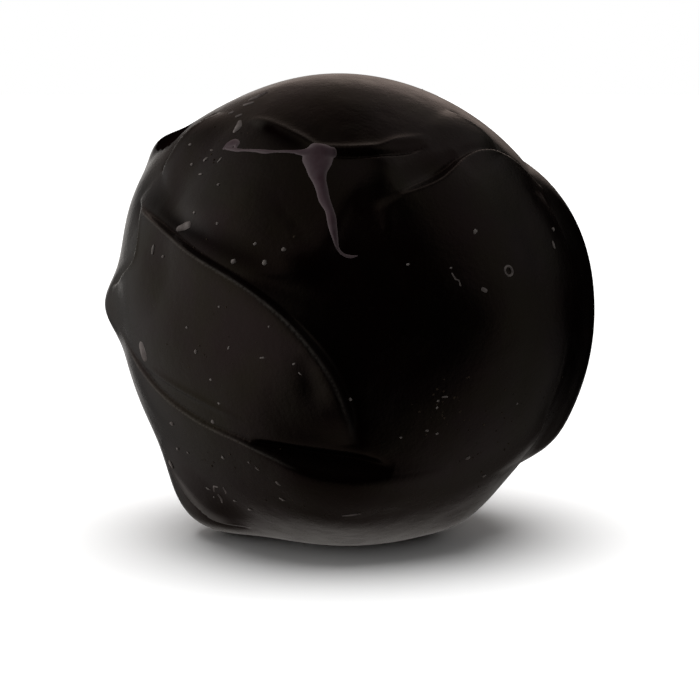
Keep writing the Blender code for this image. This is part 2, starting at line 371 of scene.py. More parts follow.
def fold_height(units, fold):
    """A step up to the right of the line, with a groove at its foot and a rolled edge."""
    offset, rise, softness = across(units, fold.points, fold.spread)
    step = 0.5 * (1 + np.tanh(offset / softness))
    back = np.clip(offset / fold.spread, 0, 1)
    raised = step * (1 - back**fold.crown) ** 2
    groove = fold.dip * (1 - step) * np.exp(-((offset / fold.dip_width) ** 2))
    strength = rise / max(point[2] for point in fold.points)
    roll = fold.roll * strength * np.exp(-(((offset - softness) / ROLL_WIDTH) ** 2))
    return rise * (raised - groove) + roll


def crease_height(units, crease):
    """A rounded groove along the line."""
    reach = TAIL * max(point[3] for point in crease.points)
    offset, depth, width = across(units, crease.points, reach)
    return -depth * np.exp(-((offset / width) ** 2))


def radius(units):
    """The distance in millimetres from the ball's centre to the skin in each direction."""
    total = 1 / np.linalg.norm(units / np.array(BALL), axis=1)
    total += sum(swell_height(units, swell) for swell in (*SWELLS.values(), *PITS.values()))
    total += sum(fold_height(units, fold) for fold in FOLDS.values())
    total += sum(crease_height(units, crease) for crease in CREASES.values())
    return total


def skin(units, lift=0.0):
    """Points on the skin in each direction, in metres, or above it by lift in millimetres."""
    return (np.array(CENTRE) + units * (radius(units) + lift)[:, None]) * MM


def seats(spots):
    """A matrix for each longitude, latitude and turn: Z stands up from the skin there."""
    ups = np.array([direction(lon, lat) for lon, lat, _ in spots])
    easts = np.cross((0, 0, 1), ups)
    easts /= np.linalg.norm(easts, axis=1, keepdims=True)
    norths = np.cross(ups, easts)
    near = np.concatenate((ups, ups + SEAT_STEP * easts, ups + SEAT_STEP * norths))
    near /= np.linalg.norm(near, axis=1, keepdims=True)
    places = []
    for here, right, above, (_, _, turn) in zip(*skin(near).reshape(3, -1, 3), spots):
        side = Vector(right - here).normalized()
        normal = side.cross(Vector(above - here)).normalized()
        matrix = Matrix((side, normal.cross(side), normal)).transposed().to_4x4()
        matrix.translation = Vector(here)
        places.append(matrix @ Matrix.Rotation(math.radians(turn), 4, "Z"))
    return places


# ---------------------------------------------------------------------------------------------
# What lies on the coating
# ---------------------------------------------------------------------------------------------

HIGHLIGHT_EDGE = "painted_highlight_edge"  # the attribute that says where a pale highlight is painted: along each fold's crest, and on the thin rims of the painted reflection and glints
HIGHLIGHT_WIDTH = 0.06  # half-width of that pale line
HIGHLIGHT_GROWTH = 3.0  # how quickly it comes up from the ends of a fold
SHARP = 0.1  # softness of a fold's step above which it starts to fade
HIGHLIGHT_SHIFT = 1.5  # how far up the fold's step it lies, as a share of the step's softness
# Painted highlight: the folds along whose crest a pale highlight is painted, and how strongly.
HIGHLIGHTED_FOLDS = {"hem": 0.9, "left lip": 1.0, "shoulder lip": 1.0, "cape": 0.9, "tuck": 0.3, "sash": 1.0,
          "brow": 0.25, "heel lip": 0.8, "cheek edge": 0.7, "back hem": 0.5, "left back flap": 0.6, "back sash": 0.3}

# Bands of painted highlight on a fold's edge, and bands of painted shade where the sheen is
# taken off: (longitude, latitude, how strongly, half-width).
PAINTED_SHADE = "matt"
HEEL_HIGHLIGHT = "pale"
# Painted highlight: a pale band painted on the heel's edge.
HEEL_HIGHLIGHT_BANDS = {
    "heel": Crease((
        (-69, -37.5, 0.0, 0.2),
        (-66.5, -41.5, 0.45, 0.2),
        (-64.8, -46, 0.6, 0.28),
        (-64.2, -50, 0.75, 0.38),
        (-62.8, -54, 0.75, 0.48),
        (-62, -58, 0.0, 0.4),
    )),
}
# Painted shade: along these hollows, the dark lump and the sash's edges the sheen is taken off so they read dark.
PAINTED_SHADE_BANDS = {
    "valley over the sash": Crease((
        (-62, 28, 0.0, 0.4),
        (-54, 26, 0.7, 0.45),
        (-46, 23.8, 0.85, 0.6),
        (-37, 21.6, 0.85, 0.85),
        (-29, 19.2, 0.85, 1.1),
        (-22, 17, 0.8, 1.2),
        (-14, 14, 0.5, 1.3),
        (-7, 10, 0.0, 1.3),
    )),
    "left of the upper pillow": Crease((
        (-94, 33, 0.0, 1.1),
        (-87, 32, 0.8, 1.2),
        (-76, 30, 0.7, 1.2),
        (-63, 29, 0.6, 1.1),
        (-54, 28, 0.0, 1.0),
    )),
    "under the brow": Crease((
        (-38, 54, 0.0, 0.4),
        (-33, 52.4, 1.0, 0.6),
        (-27, 50.6, 1.0, 0.75),
        (-20.5, 48.3, 1.0, 0.7),
        (-15, 46.6, 0.8, 0.5),
        (-11, 45.8, 0.0, 0.3),
    )),
    "lump behind the shoulder": Crease((
        (-87, 38, 0.0, 1.6),
        (-88, 42, 1.6, 2.1),
        (-88, 48, 1.6, 2.1),
        (-84, 55, 0.0, 1.6),
    )),
    "rim of the sash": Crease((
        (-20, 9.5, 0.0, 0.25),
        (-13, 4, 0.5, 0.3),
        (-6.4, -2.8, 0.65, 0.35),
        (-3, -9.6, 0.65, 0.35),
        (-0.2, -18, 0.65, 0.35),
        (0.8, -24, 0.5, 0.35),
        (1, -29, 0.0, 0.3),
    )),
    "foot of the sash": Crease((
        (-8, 3, 0.0, 0.25),
        (-2, -6, 1.0, 0.4),
        (1.9, -16, 1.0, 0.45),
        (3.2, -24, 1.0, 0.45),
        (3, -29, 0.0, 0.3),
    )),
}

SEAT_STEP = 0.004  # how far apart, on the unit ball, the points that give the skin's slope lie
THIN = 0.06  # how thick the painted reflection and each glint still are where their pale rims end
SUNK = 0.06  # how deep the rims of the painted reflection and of each glint sit in the coating
MELD = 0.03  # how softly two strokes of the painted reflection run together
STROKE_REACH = 3.0  # how far from a stroke its height is worked out

# Strokes of the mauve reflection, painted on as a raised streak: (longitude, latitude, half-width, height).
PAINTED_REFLECTION = (
    (
        (-45.8, 45.6, 0.12, 0.08),
        (-44.9, 46.6, 0.3, 0.1),
        (-43.4, 47.1, 0.38, 0.1),
        (-41.6, 47.0, 0.26, 0.08),
        (-40.9, 46.2, 0.12, 0.06),
    ),
    (
        (-44.5, 45.6, 0.12, 0.08),
        (-39.7, 45.3, 0.13, 0.07),
        (-36.9, 45.3, 0.1, 0.06),
        (-32, 45.3, 0.12, 0.06),
        (-28.3, 45.1, 0.16, 0.07),
        (-24.8, 45.3, 0.1, 0.06),
        (-19, 45.5, 0.12, 0.08),
        (-15.5, 45.3, 0.22, 0.13),
        (-10.3, 45.2, 0.3, 0.14),
        (-5.6, 45.1, 0.26, 0.14),
    ),
    (
        (-10.1, 43.8, 0.95, 0.14),
        (-9.8, 42.3, 0.85, 0.15),
        (-9.5, 39.8, 0.6, 0.16),
        (-8.7, 37.6, 0.42, 0.17),
        (-7.7, 35.2, 0.36, 0.18),
        (-6.8, 32.6, 0.34, 0.18),
        (-5.4, 30.1, 0.26, 0.17),
        (-4.7, 28.1, 0.28, 0.18),
        (-4.2, 25.7, 0.25, 0.17),
        (-3.6, 23.4, 0.18, 0.1),
        (-3, 21.2, 0.1, 0.06),
        (-1.7, 19.8, 0.09, 0.05),
        (0, 19.3, 0.1, 0.05),
        (1.9, 19.5, 0.03, 0.03),
    ),
)

# Pale glints painted on as small raised pieces, each as a short stroke.
PAINTED_GLINTS = {
    "glint on the upper pillow": ((-50, 24.3, 0.22, 0.1), (-48.2, 25, 0.28, 0.12), (-46.4, 25.4, 0.22, 0.1)),
    "glint on the left lobe": ((-61.2, -5.4, 0.38, 0.1), (-60.3, -7.2, 0.42, 0.12)),
    "glint under the crown": ((-46.8, 50.9, 0.14, 0.08), (-46.8, 52.2, 0.25, 0.12), (-48.6, 54, 0.14, 0.08)),
    "first fleck of the crown": ((-60.8, 56.4, 0.09, 0.06), (-59.4, 57, 0.09, 0.06)),
    "second fleck of the crown": ((-53.4, 55.6, 0.09, 0.06), (-51.8, 56.4, 0.09, 0.06)),
    "third fleck of the crown": ((-57.8, 59.8, 0.08, 0.06), (-54, 61.2, 0.1, 0.06)),
    "flake of the crown": ((-59.6, 62.2, 0.1, 0.06), (-57.4, 63.6, 0.2, 0.08), (-56, 66, 0.12, 0.06)),
    "glint on the right cheek": ((32.6, 10.8, 0.13, 0.04), (33.2, 10.5, 0.13, 0.04)),
    "dash on the belly": ((-2.4, -47.8, 0.04, 0.04), (0.8, -47.6, 0.09, 0.06), (3.4, -47.3, 0.06, 0.04)),
    "squiggle on the cheek": (
        (24.9, 14.9, 0.04, 0.04), (25.7, 13.6, 0.05, 0.04), (26.5, 13.2, 0.04, 0.04), (26.8, 12, 0.04, 0.04),
    ),
    "upper arc on the heel": ((-52.9, -44.8, 0.05, 0.04), (-51.4, -43.2, 0.07, 0.05), (-49.5, -43.2, 0.05, 0.04)),
    "right arc on the heel": ((-46.4, -43, 0.05, 0.04), (-46.6, -44.2, 0.08, 0.05), (-47.6, -45.4, 0.05, 0.04)),
    "lower arc on the heel": ((-52.2, -46, 0.05, 0.04), (-52.2, -47.2, 0.07, 0.05), (-53.2, -48.6, 0.05, 0.04)),
}

# Bubbles that burst as the coating set: (longitude, latitude, radius).
BUBBLES = ((40.8, 14.5, 0.3), (128, 12, 0.3), (-150, 30, 0.26))

PITS = {
    index: Swell(lon, lat, 0.7 * size, -0.1) for index, (lon, lat, size) in enumerate(BUBBLES)
}

# Crumbs, also standing in for painted glints, set one by one: (longitude, latitude, length, width, turn).
CRUMBS_AND_GLINTS = (
    (-28.7, 17.4, 0.4, 0.32, 10),
    (-20, 17.2, 0.32, 0.32, 0),
    (-15.4, 20.1, 0.28, 0.26, 0),
    (-34.4, 25.4, 0.2, 0.2, 0),
    (-39.5, 35.3, 0.2, 0.2, 0),
    (-61.5, 44.4, 0.24, 0.2, 0),
    (-56.3, 40.2, 0.24, 0.2, 0),
    (-51.5, 42.1, 0.36, 0.2, 60),
    (-44.6, 42.1, 0.46, 0.13, 70),
    (-51.3, 44.7, 0.3, 0.13, 0),
    (-50, 38.1, 0.36, 0.14, 0),
    (-54.3, 18.1, 0.6, 0.24, 85),
    (-50.3, 16.9, 0.22, 0.2, 0),
    (-44.4, 28, 0.2, 0.18, 0),
    (-22.8, 21.2, 0.2, 0.18, 0),
    (-41.3, 1.4, 0.2, 0.18, 0),
    (-38.5, -4, 0.3, 0.24, 80),
    (-28.4, -2.2, 0.22, 0.16, 60),
    (-19.5, -3.7, 0.4, 0.12, 10),
    (-11.9, -4.4, 0.24, 0.1, 30),
    (-10.7, -6.5, 0.26, 0.1, -50),
    (-34.5, -10.3, 0.18, 0.16, 0),
    (-33.1, -16, 0.2, 0.16, 0),
    (-30.7, 6.9, 0.16, 0.14, 0),
    (-17.5, 3.3, 0.14, 0.14, 0),
    (0, -13.2, 0.24, 0.22, 0),
    (-53.5, -23.7, 0.36, 0.26, 10),
    (-36.6, -21.2, 0.28, 0.26, 0),
    (-58.9, -32.1, 0.26, 0.22, 0),
    (-53.6, -32.5, 0.22, 0.16, -30),
    (-68, -37, 0.7, 0.26, -60),
    (-37.2, -31.2, 0.28, 0.2, 90),
    (-26.2, -32.8, 0.4, 0.12, -60),
    (-28.2, -31.3, 0.2, 0.1, -60),
    (-21, -37, 0.46, 0.18, -60),
    (-22.3, -43.5, 0.5, 0.16, -30),
    (-41.9, -51.2, 0.36, 0.2, -20),
    (-46.1, -48, 0.24, 0.18, 0),
    (-55, -43.9, 0.36, 0.14, -40),
    (-54.8, -46.5, 0.16, 0.14, 0),
    (32.6, 24.1, 0.36, 0.24, 50),
    (63.5, 22.6, 0.26, 0.24, 0),
    (60.6, 19.1, 0.6, 0.2, 80),
    (14, 17.4, 0.22, 0.14, 0),
    (24.7, 16.2, 0.14, 0.12, 0),
    (23.4, -14, 0.4, 0.12, 0),
    (21.7, -14.9, 0.16, 0.14, 0),
    (21.6, -16.6, 0.2, 0.12, 80),
    (19.7, -22.4, 0.2, 0.16, 0),
    (22.6, -23.4, 0.2, 0.14, 40),
    (13, -23.9, 0.16, 0.14, 0),
    (34.5, -31.3, 0.34, 0.22, 40),
    (45.9, -38.8, 0.3, 0.18, 30),
    (45.1, -17.2, 0.16, 0.14, 0),
)

# Dustings of fine crumbs: (longitude, latitude, spread in degrees, how many).
DUSTINGS = (
    (-52, 44, 9, 16),
    (24, -16, 9, 26),
    (40, -22, 14, 40),
    (-32, -38, 14, 22),
    (-30, 8, 22, 18),
    (150, 20, 40, 50),
    (-140, -10, 40, 50),
    (90, -20, 25, 20),
)
CRUMB_HEIGHT = 0.35  # a crumb's height, as a share of its width
CRUMB_JITTER = 0.22  # how far a crumb's corners stray, as a share of its size
SEED = 7


def stroke_height(units, strokes):
    """The height of the strokes over the skin in each direction, and below nought beside a stroke."""
    heights = []
    for points in strokes:
        offset, half_width, height = across(units, points, STROKE_REACH)
        half_width = np.maximum(half_width, 0.02)
        heights.append(height * (1 - (offset / half_width) ** 2))
    melded = MELD * np.log(sum(np.exp(np.maximum(h, -1) / MELD) for h in heights))
    return np.maximum(melded, -SUNK)


def add_strokes(bm, strokes, pitch):
    """Adds one closed raised body, from a fine net laid on the skin around its strokes."""
    # The thin rims of the painted reflection and of the glints are painted paler.
    layer = bm.verts.layers.float.get(HIGHLIGHT_EDGE) or bm.verts.layers.float.new(HIGHLIGHT_EDGE)
    ends = np.array([point[:3] for points in strokes for point in points])
    margin = math.degrees((ends[:, 2].max() + SUNK) / MEAN_RADIUS) * 1.6
    low, high = ends[:, :2].min(axis=0) - margin, ends[:, :2].max(axis=0) + margin
    shrink = math.cos(math.radians((low[1] + high[1]) / 2))
    sides = np.radians(high - low) * MEAN_RADIUS * (shrink, 1)
    counts = np.ceil(sides / pitch).astype(int)
    net = bmesh.ops.create_grid(bm, x_segments=counts[0], y_segments=counts[1], size=0.5)["verts"]
    shares = np.array([vertex.co[:2] for vertex in net]) + 0.5
    lon, lat = (low + shares * (high - low)).T
    units = direction(lon, lat).T
    lift = stroke_height(units, strokes)
    for vertex, place, height in zip(net, skin(units, lift), lift):
        vertex.co = place
        vertex[layer] = math.exp(-((max(height, 0) / THIN) ** 2))
    height_of = dict(zip(net, lift))
    faces = {face for vertex in net for face in vertex.link_faces}
    bare = [face for face in faces if max(height_of[v] for v in face.verts) <= -SUNK]
    bmesh.ops.delete(bm, geom=bare, context="FACES")
    kept = [face for face in faces if face.is_valid]
    under = bmesh.ops.extrude_face_region(bm, geom=kept, use_keep_orig=True)["geom"]
    centre = Vector(CENTRE) * MM
    for vertex in (item for item in under if isinstance(item, bmesh.types.BMVert)):
        vertex.co += (centre - vertex.co).normalized() * (SUNK * MM)


def add_crumb(bm, place, length, width, rng):
    """Adds one crumb: a small lump with uneven corners, half sunk in the coating."""
    lump = bmesh.ops.create_icosphere(bm, subdivisions=2, radius=0.5)["verts"]
    size = Vector((length, width, CRUMB_HEIGHT * width * 2)) * MM
    for vertex in lump:
        vertex.co *= 1 + CRUMB_JITTER * rng.uniform(-1, 1)
        vertex.co = place @ Vector(a * b for a, b in zip(vertex.co, size))


def add_crumbs(name, crumbs, rng, material):
    """Makes one piece of crumbs: (longitude, latitude, length, width, turn) for each."""
    bm = bmesh.new()
    places = seats([(lon, lat, turn) for lon, lat, _, _, turn in crumbs])
    for place, (_, _, length, width, _) in zip(places, crumbs):
        add_crumb(bm, place, length, width, rng)
    new_piece(name, bm, material)


def scatter(rng):
    """Where the fine crumbs of each dusting lie, and their sizes and turns."""
    for lon, lat, spread, count in DUSTINGS:
        for _ in range(count):
            north = rng.normal(0, spread / 2)
            east = rng.normal(0, spread / 2) / math.cos(math.radians(lat))
            length = rng.uniform(0.06, 0.16)
            yield lon + east, lat + north, length, length * rng.uniform(0.5, 1), rng.uniform(0, 180)


def painted_crest_highlights(units):
    """How strongly the pale highlight painted along each fold's crest shows in each direction."""
    total = np.zeros(len(units))
    for name, strength in HIGHLIGHTED_FOLDS.items():
        fold = FOLDS[name]
        offset, rise, softness = across(units, fold.points, HIGHLIGHT_WIDTH * TAIL)
        share = np.minimum(HIGHLIGHT_GROWTH * rise / max(point[2] for point in fold.points), 1)
        share *= np.clip(2 - softness / SHARP, 0, 1)
        total += strength * share * np.exp(-(((offset - HIGHLIGHT_SHIFT * softness) / HIGHLIGHT_WIDTH) ** 2))
    return total


def band_strength(units, bands):
    """How strongly the bands mark the coating in each direction, from 0 to 1."""
    total = np.zeros(len(units))
    for band in bands.values():
        reach = TAIL * max(point[3] for point in band.points)
        offset, amount, width = across(units, band.points, reach)
        total += amount * np.exp(-((offset / width) ** 2))
    return np.clip(total, 0, 1)


def near_folds(bm, reach):
    """The edges of a unit ball that lie within reach, in millimetres, of a fold's or crease's line."""
    units = np.array([vertex.co.normalized() for vertex in bm.verts])
    near = np.zeros(len(units), bool)
    for line in (*FOLDS.values(), *CREASES.values()):
        near |= np.abs(across(units, line.points, reach)[0]) < reach
    for pit in PITS.values():
        near |= units @ direction(pit.lon, pit.lat) > math.cos(2 * pit.width / MEAN_RADIUS)
    marked = {vertex for vertex, is_near in zip(bm.verts, near) if is_near}
    return [edge for edge in bm.edges if marked.issuperset(edge.verts)]


def new_piece(name, bm, material, level=None):
    """Makes a piece of the truffle from a bmesh: it shades smoothly and rides with the truffle."""
    old = bpy.data.objects.get(name)
    if old:
        bpy.data.objects.remove(old)
    bmesh.ops.recalc_face_normals(bm, faces=bm.faces)
    mesh = bpy.data.meshes.new(name)
    bm.to_mesh(mesh)
    bm.free()
    if not mesh.polygons:
        raise RuntimeError(f"{name} came out empty")
    mesh.shade_smooth()
    mesh.materials.append(material)
    piece = bpy.data.objects.new(name, mesh)
    bpy.context.scene.collection.objects.link(piece)
    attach(piece, BODY)
    return piece


# ---------------------------------------------------------------------------------------------
# Materials
# ---------------------------------------------------------------------------------------------


def linear(hex_colour):
    """A linear RGB colour from an sRGB hex value."""
    shares = [int(hex_colour[i : i + 2], 16) / 255 for i in (1, 3, 5)]
    return tuple(c / 12.92 if c <= 0.04045 else ((c + 0.055) / 1.055) ** 2.4 for c in shares)


def add_node(tree, kind, inputs=None, **settings):
    """Adds a node: settings are its own, and inputs are values, or the nodes or sockets that feed it."""
    node = tree.nodes.new(kind)
    for name, value in settings.items():
        setattr(node, name, value)
    for name, value in (inputs or {}).items():
        if isinstance(value, bpy.types.Node):
            value = value.outputs[0]
        if isinstance(value, bpy.types.NodeSocket):
            tree.links.new(value, node.inputs[name])
        else:
            node.inputs[name].default_value = value
    return node


def new_material(name):
    """An empty material with one Principled shader: its tree, the shader and Object coordinates."""
    old = bpy.data.materials.get(name)
    if old:
        bpy.data.materials.remove(old)
    material = bpy.data.materials.new(name)
    material.use_nodes = True
    tree = material.node_tree
    shader = tree.nodes["Principled BSDF"]
    place = add_node(tree, "ShaderNodeTexCoord").outputs["Object"]
    return material, tree, shader, place


def dark_chocolate(colours):
    """Tempered dark chocolate, dipped and set: nearly black brown, with a satin sheen.

    Broad patches of the brown differ a little, a thin grey bloom shows here and there, a pale highlight
    is painted on fold crests and the heel, painted shade takes the sheen off the hollows, and the skin
    has a fine grain that breaks up its reflections.
    """
    material, tree, shader, place = new_material("dark_chocolate_hand_dipped")
    patches = add_node(tree, "ShaderNodeTexNoise", {"Vector": place, "Scale": 1 / (5.0 * MM)})
    redder = add_node(
        tree, "ShaderNodeMapRange", {"Value": patches, "From Min": 0.4, "From Max": 0.62}
    )
    brown = add_node(
        tree,
        "ShaderNodeMix",
        {0: redder, 6: (*colours.chocolate, 1), 7: (*colours.warm, 1)},
        data_type="RGBA",
    )
    specks = add_node(
        tree,
        "ShaderNodeTexNoise",
        {"Vector": place, "Scale": 1 / (0.3 * MM), "Detail": 4.0, "Roughness": 0.7},
    )
    clouds = add_node(tree, "ShaderNodeTexNoise", {"Vector": place, "Scale": 1 / (3.2 * MM)})
    speckled = add_node(
        tree, "ShaderNodeMapRange", {"Value": specks, "From Min": 0.5, "From Max": 0.75, "To Max": 0.5}
    )
    cloudy = add_node(
        tree, "ShaderNodeMapRange", {"Value": clouds, "From Min": 0.45, "From Max": 0.7}
    )
    film = add_node(tree, "ShaderNodeMath", {0: speckled, 1: cloudy}, operation="MULTIPLY")
    bloomed = add_node(
        tree,
        "ShaderNodeMix",
        {0: film, 6: brown.outputs[2], 7: (*colours.bloom, 1)},
        data_type="RGBA",
    )
    # Painted highlight: paler along each fold's crest.
    edges = add_node(tree, "ShaderNodeAttribute", attribute_name=HIGHLIGHT_EDGE).outputs["Fac"]
    highlighted = add_node(
        tree,
        "ShaderNodeMix",
        {0: edges, 6: bloomed.outputs[2], 7: (*colours.highlighted, 1)},
        data_type="RGBA",
    )
    # Painted highlight: a paler band on the heel.
    heel_highlight = add_node(tree, "ShaderNodeAttribute", attribute_name=HEEL_HIGHLIGHT).outputs["Fac"]
    paled = add_node(
        tree,
        "ShaderNodeMix",
        {0: heel_highlight, 6: highlighted.outputs[2], 7: (*colours.heel_highlight, 1)},
        data_type="RGBA",
    )
    tree.links.new(paled.outputs[2], shader.inputs["Base Color"])
    sheen = add_node(
        tree, "ShaderNodeTexNoise", {"Vector": place, "Scale": 1 / (1.4 * MM), "Detail": 3.0}
    )
    satin = add_node(
        tree,
        "ShaderNodeMapRange",
        {"Value": sheen, "From Min": 0.3, "From Max": 0.7, "To Min": 0.22, "To Max": 0.3},
    )
    tree.links.new(satin.outputs[0], shader.inputs["Roughness"])
    shader.inputs["IOR"].default_value = 1.45
    # Painted shade: the sheen is taken off where the bands lie, so those places read dark.
    matt = add_node(tree, "ShaderNodeAttribute", attribute_name=PAINTED_SHADE).outputs["Fac"]
    gloss = add_node(tree, "ShaderNodeMapRange", {"Value": matt, "To Min": 0.5, "To Max": 0.0})
    tree.links.new(gloss.outputs[0], shader.inputs["Specular IOR Level"])
    drifts = add_node(
        tree,
        "ShaderNodeTexNoise",
        {"Vector": place, "Scale": 1 / (4.0 * MM), "W": 3.0},
        noise_dimensions="4D",
    )
    olive = add_node(
        tree, "ShaderNodeMapRange", {"Value": drifts, "From Min": 0.38, "From Max": 0.62}
    )
    gleam = add_node(
        tree,
        "ShaderNodeMix",
        {0: olive, 6: (*colours.sheen, 1), 7: (*colours.sheen_olive, 1)},
        data_type="RGBA",
    )
    tree.links.new(gleam.outputs[2], shader.inputs["Specular Tint"])
    fine = add_node(
        tree, "ShaderNodeTexNoise", {"Vector": place, "Scale": 1 / (0.22 * MM), "Detail": 3.0}
    )
    broad = add_node(tree, "ShaderNodeTexNoise", {"Vector": place, "Scale": 1 / (2.2 * MM)})
    grain = add_node(tree, "ShaderNodeBump", {"Height": fine, "Distance": 0.012 * MM})
    waves = add_node(
        tree, "ShaderNodeBump", {"Height": broad, "Distance": 0.05 * MM, "Normal": grain}
    )
    tree.links.new(waves.outputs[0], shader.inputs["Normal"])
    return material


def mauve_painted_reflection(colours):
    """A reflection painted on as a raised streak: matt mauve, paler in blotches and along its thin rim."""
    material, tree, shader, place = new_material("mauve_reflection_painted_on")
    blotches = add_node(
        tree, "ShaderNodeTexNoise", {"Vector": place, "Scale": 1 / (0.9 * MM), "Detail": 3.0}
    )
    thick = add_node(
        tree, "ShaderNodeMapRange", {"Value": blotches, "From Min": 0.35, "From Max": 0.7}
    )
    tint = add_node(
        tree,
        "ShaderNodeMix",
        {0: thick, 6: (*colours.drizzle, 1), 7: (*colours.reflection_pale, 1)},
        data_type="RGBA",
    )
    rim = add_node(tree, "ShaderNodeAttribute", attribute_name=HIGHLIGHT_EDGE).outputs["Fac"]
    rimmed = add_node(
        tree,
        "ShaderNodeMix",
        {0: rim, 6: tint.outputs[2], 7: (*colours.reflection_rim, 1)},
        data_type="RGBA",
    )
    tree.links.new(rimmed.outputs[2], shader.inputs["Base Color"])
    shader.inputs["Roughness"].default_value = 0.5
    shader.inputs["IOR"].default_value = 1.46
    fine = add_node(tree, "ShaderNodeTexNoise", {"Vector": place, "Scale": 1 / (0.15 * MM)})
    grain = add_node(tree, "ShaderNodeBump", {"Height": fine, "Distance": 0.01 * MM})
    tree.links.new(grain.outputs[0], shader.inputs["Normal"])
    return material


def pale_fleck(name, dull, pale):
    """Sugar, set cocoa butter and painted glints: pale, dull and uneven, between two colours."""
    material, tree, shader, place = new_material(name)
    blotches = add_node(tree, "ShaderNodeTexNoise", {"Vector": place, "Scale": 1 / (0.6 * MM)})
    paler = add_node(
        tree, "ShaderNodeMapRange", {"Value": blotches, "From Min": 0.3, "From Max": 0.7}
    )
    tint = add_node(
        tree,
        "ShaderNodeMix",
        {0: paler, 6: (*dull, 1), 7: (*pale, 1)},
        data_type="RGBA",
    )
    tree.links.new(tint.outputs[2], shader.inputs["Base Color"])
    shader.inputs["Roughness"].default_value = 0.6
    fine = add_node(tree, "ShaderNodeTexNoise", {"Vector": place, "Scale": 1 / (0.08 * MM)})
    grain = add_node(tree, "ShaderNodeBump", {"Height": fine, "Distance": 0.01 * MM})
    tree.links.new(grain.outputs[0], shader.inputs["Normal"])
    return material


def cocoa_dust(colours):
    """Dry dust of cocoa and broken chocolate: a dull light brown, each grain a little different."""
    material, tree, shader, place = new_material("cocoa_dust_dry")
    grains = add_node(tree, "ShaderNodeTexNoise", {"Vector": place, "Scale": 1 / (0.5 * MM)})
    paler = add_node(
        tree, "ShaderNodeMapRange", {"Value": grains, "From Min": 0.35, "From Max": 0.65}
    )
    tint = add_node(
        tree,
        "ShaderNodeMix",
        {0: paler, 6: (*colours.dust, 1), 7: (*colours.dust_pale, 1)},
        data_type="RGBA",
    )
    tree.links.new(tint.outputs[2], shader.inputs["Base Color"])
    shader.inputs["Roughness"].default_value = 0.8
    return material


def white_table(colours):
    """A matt white laminate table top: plain, with a very faint unevenness."""
    material, tree, shader, place = new_material("white_laminate_matt")
    clouds = add_node(tree, "ShaderNodeTexNoise", {"Vector": place, "Scale": 1 / (60 * MM)})
    tint = add_node(
        tree,
        "ShaderNodeMix",
        {0: clouds, 6: (*colours.floor, 1), 7: (*colours.floor_pale, 1)},
        data_type="RGBA",
    )
    tree.links.new(tint.outputs[2], shader.inputs["Base Color"])
    shader.inputs["Roughness"].default_value = 0.9
    shader.inputs["Specular IOR Level"].default_value = 0.0
    return material


# ---------------------------------------------------------------------------------------------
# Properties, operators and panel
# ---------------------------------------------------------------------------------------------


def colour(name, description, hex_colour):
    """A colour property with its default from a hex value."""
    return bpy.props.FloatVectorProperty(
        name=name, description=description, subtype="COLOR", size=3, min=0, max=1,
        default=linear(hex_colour),
    )


class TruffleSizes(bpy.types.PropertyGroup):
    """Sizes of the truffle's pieces."""

    ball_level: bpy.props.IntProperty(
        name="Ball detail",
        description="Subdivisions of the ball that the coating starts from",
        default=7, min=4, max=7,
    )
    fine_reach: bpy.props.FloatProperty(
        name="Fine reach",
        description="How far to each side of a fold the coating's net is made finer",
        default=0.75 * MM, unit="LENGTH",
    )
    finest_reach: bpy.props.FloatProperty(
        name="Finest reach",
        description="How far to each side of a fold the coating's net is at its finest",
        default=0.34 * MM, unit="LENGTH",
    )
    net_pitch: bpy.props.FloatProperty(
        name="Net pitch",
        description="Spacing of the net that the drizzle and its drops are made from",
        default=0.06 * MM, unit="LENGTH",
    )
    bubble_rim: bpy.props.FloatProperty(
        name="Bubble rim",
        description="Half the width of the rim that a burst bubble leaves",
        default=0.07 * MM, unit="LENGTH",
    )


class TruffleColours(bpy.types.PropertyGroup):
    """Colours of the truffle's pieces and of the table."""

    chocolate: colour("Chocolate", "The coating's main brown", "#1a1110")
    warm: colour("Warm chocolate", "The coating's redder brown patches", "#1f100f")
    bloom: colour("Bloom", "The thin grey film on the coating", "#3a352f")
    sheen: colour("Sheen", "What the coating's sheen is tinted with", "#ffe0dc")
    sheen_olive: colour("Olive sheen", "What it is tinted with in patches", "#fbebcc")
    # Colours of the painted highlights: along the fold crests and on the heel.
    highlighted: colour("Painted crest highlight", "Where the edge of a fold was rubbed", "#8a8580")
    heel_highlight: colour("Painted heel highlight", "Where a fold was rubbed broadly", "#d2cecc")
    # The mauve streak is a painted reflection: these are its colours.
    drizzle: colour("Reflection", "The mauve drizzle", "#7d5f6b")
    reflection_pale: colour("Pale drizzle", "The drizzle's paler patches", "#947e88")
    reflection_rim: colour("Drizzle rim", "The drizzle's thin pale rim", "#c4b2b8")
    # The glints are painted highlight; the same colours serve the bubble rims.
    splash: colour("Glint and rim", "The duller parts of the drops and bubble rims", "#a89c9a")
    glint_and_rim_pale: colour("Pale glint and rim", "Their paler parts", "#e2d8d5")
    # The crumbs also stand in for glints: their pale colour is the crumbs' own and also painted highlight.
    crumb: colour("Crumb", "The duller crumbs", "#b5aaa6")
    crumb_and_glint_pale: colour("Pale crumb", "The paler crumbs, which also paint glints", "#f0e8e4")
    dust: colour("Dust", "The duller grains of dust", "#4a3b33")
    dust_pale: colour("Pale dust", "The paler grains of dust", "#7a6a58")
    floor: colour("Table", "The table top", "#f2f2f2")
    floor_pale: colour("Pale table", "The table top's paler clouds", "#f4f4f4")


class TruffleOperator:
    """What every step of making the truffle shares."""

    bl_options = {"REGISTER", "UNDO"}


